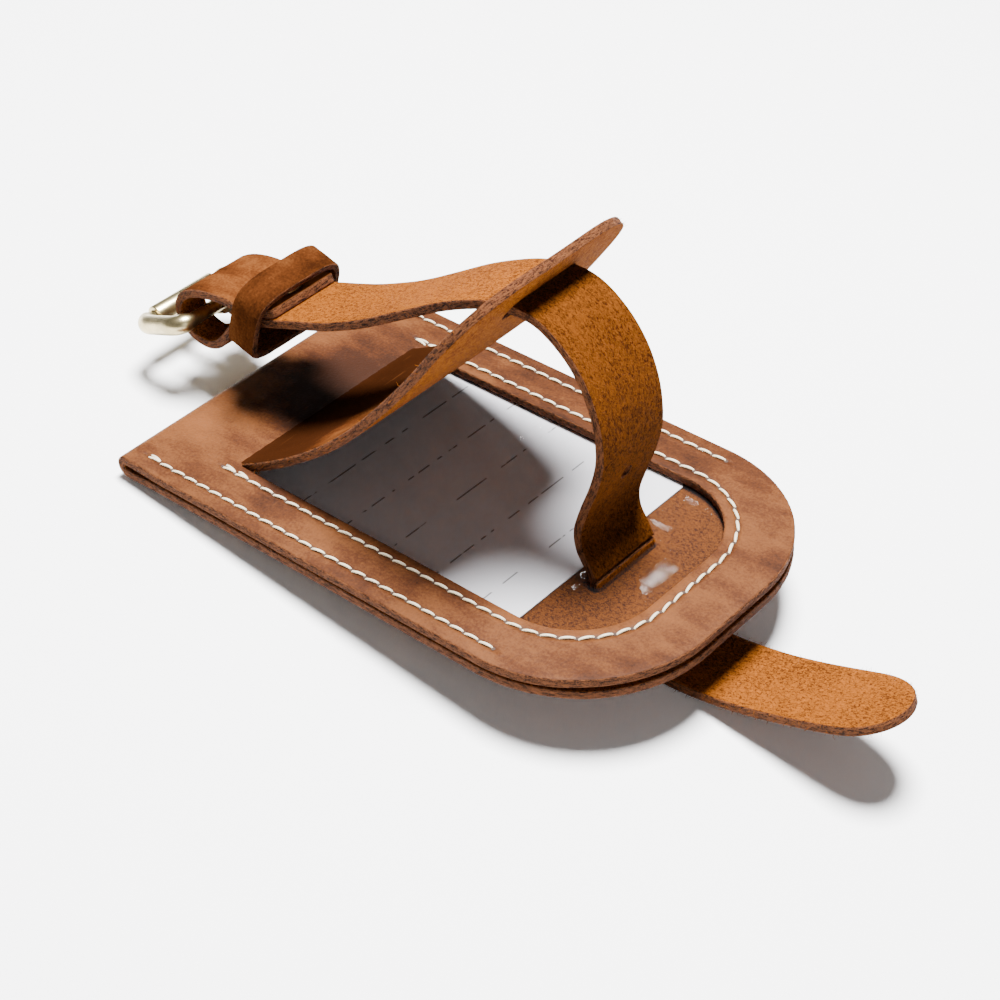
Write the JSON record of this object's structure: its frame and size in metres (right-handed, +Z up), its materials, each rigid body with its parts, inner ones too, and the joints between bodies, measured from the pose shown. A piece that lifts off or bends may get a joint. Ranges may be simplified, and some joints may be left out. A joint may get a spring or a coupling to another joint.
{
  "type": "leather luggage tag",
  "caption": "Folded leather luggage tag with a stitched clear window, raised privacy flap, address card and a buckled strap threaded through it.",
  "frame": {"origin": "middle of the bottom of the whole object's bounding box, on the surface it lies on", "axes": "+X from the fold and the buckle towards the rounded end and the strap's tail; +Y across the tag; +Z up"},
  "size_m": [0.1872, 0.079, 0.0758],
  "materials": {
    "oiled_leather": "oiled pull-up grain, satin",
    "strap_leather": "suede flesh side, matt",
    "clear_film": "clear, glossy",
    "card_paper": "smooth printed card",
    "cream_thread": "waxed thread",
    "antique_brass": "worn antique brass, polished"
  },
  "bodies": {
    "tag": {"body_leather": "oiled_leather", "window_film": "clear_film", "strap_tail": "strap_leather", "strap_arch": "strap_leather", "near_seam_needle_thread": "cream_thread", "near_seam_bobbin_thread": "cream_thread", "far_seam_needle_thread": "cream_thread", "far_seam_bobbin_thread": "cream_thread", "window_seam_needle_thread": "cream_thread", "window_seam_bobbin_thread": "cream_thread"},
    "flap": {"privacy_flap": "oiled_leather"},
    "strap": {"strap_run": "strap_leather", "rivet_cap": "antique_brass", "rivet_back_cap": "antique_brass"},
    "keeper": {"keeper_loop": "oiled_leather", "keeper_staple": "antique_brass"},
    "buckle": {"buckle_frame": "antique_brass"},
    "prong": {"buckle_prong": "antique_brass"},
    "roller": {"buckle_roller": "antique_brass"},
    "card": {"address_card": "card_paper"}
  },
  "joints": [
    {"name": "flap_hinge", "type": "hinge", "parent": "tag", "child": "flap", "pos_m": [-0.04748, 0, 0.00654], "axis": [0, 1, 0], "range_deg": [-6, 8], "deforming": ["strap_arch"]},
    {"name": "strap_swing", "type": "hinge", "parent": "flap", "child": "strap", "pos_m": [0.00285, 0, 0.06559], "axis": [0, 1, 0], "range_deg": [-4, 3]},
    {"name": "keeper_slide", "type": "slide", "parent": "strap", "child": "keeper", "axis": [0.9033, 0, 0.4289], "range_m": [0, 0.01]},
    {"name": "buckle_hinge", "type": "hinge", "parent": "strap", "child": "buckle", "pos_m": [-0.07905, 0, 0.01841], "axis": [0, 1, 0], "range_deg": [-15, 30]},
    {"name": "prong_hinge", "type": "hinge", "parent": "buckle", "child": "prong", "pos_m": [-0.07905, 0, 0.01841], "axis": [0, 1, 0], "range_deg": [-30, 0]},
    {"name": "roller_spin", "type": "hinge", "parent": "buckle", "child": "roller", "pos_m": [-0.09138, 0, 0.01224], "axis": [0, 1, 0], "continuous": true},
    {"name": "card_slide", "type": "slide", "parent": "tag", "child": "card", "axis": [0.9949, 0, 0.1011], "range_m": [-0.0016, 0.004]}
  ],
  "couplings": [
    {"joint": "strap_swing", "follows": "flap_hinge", "ratio": -0.4}
  ]
}
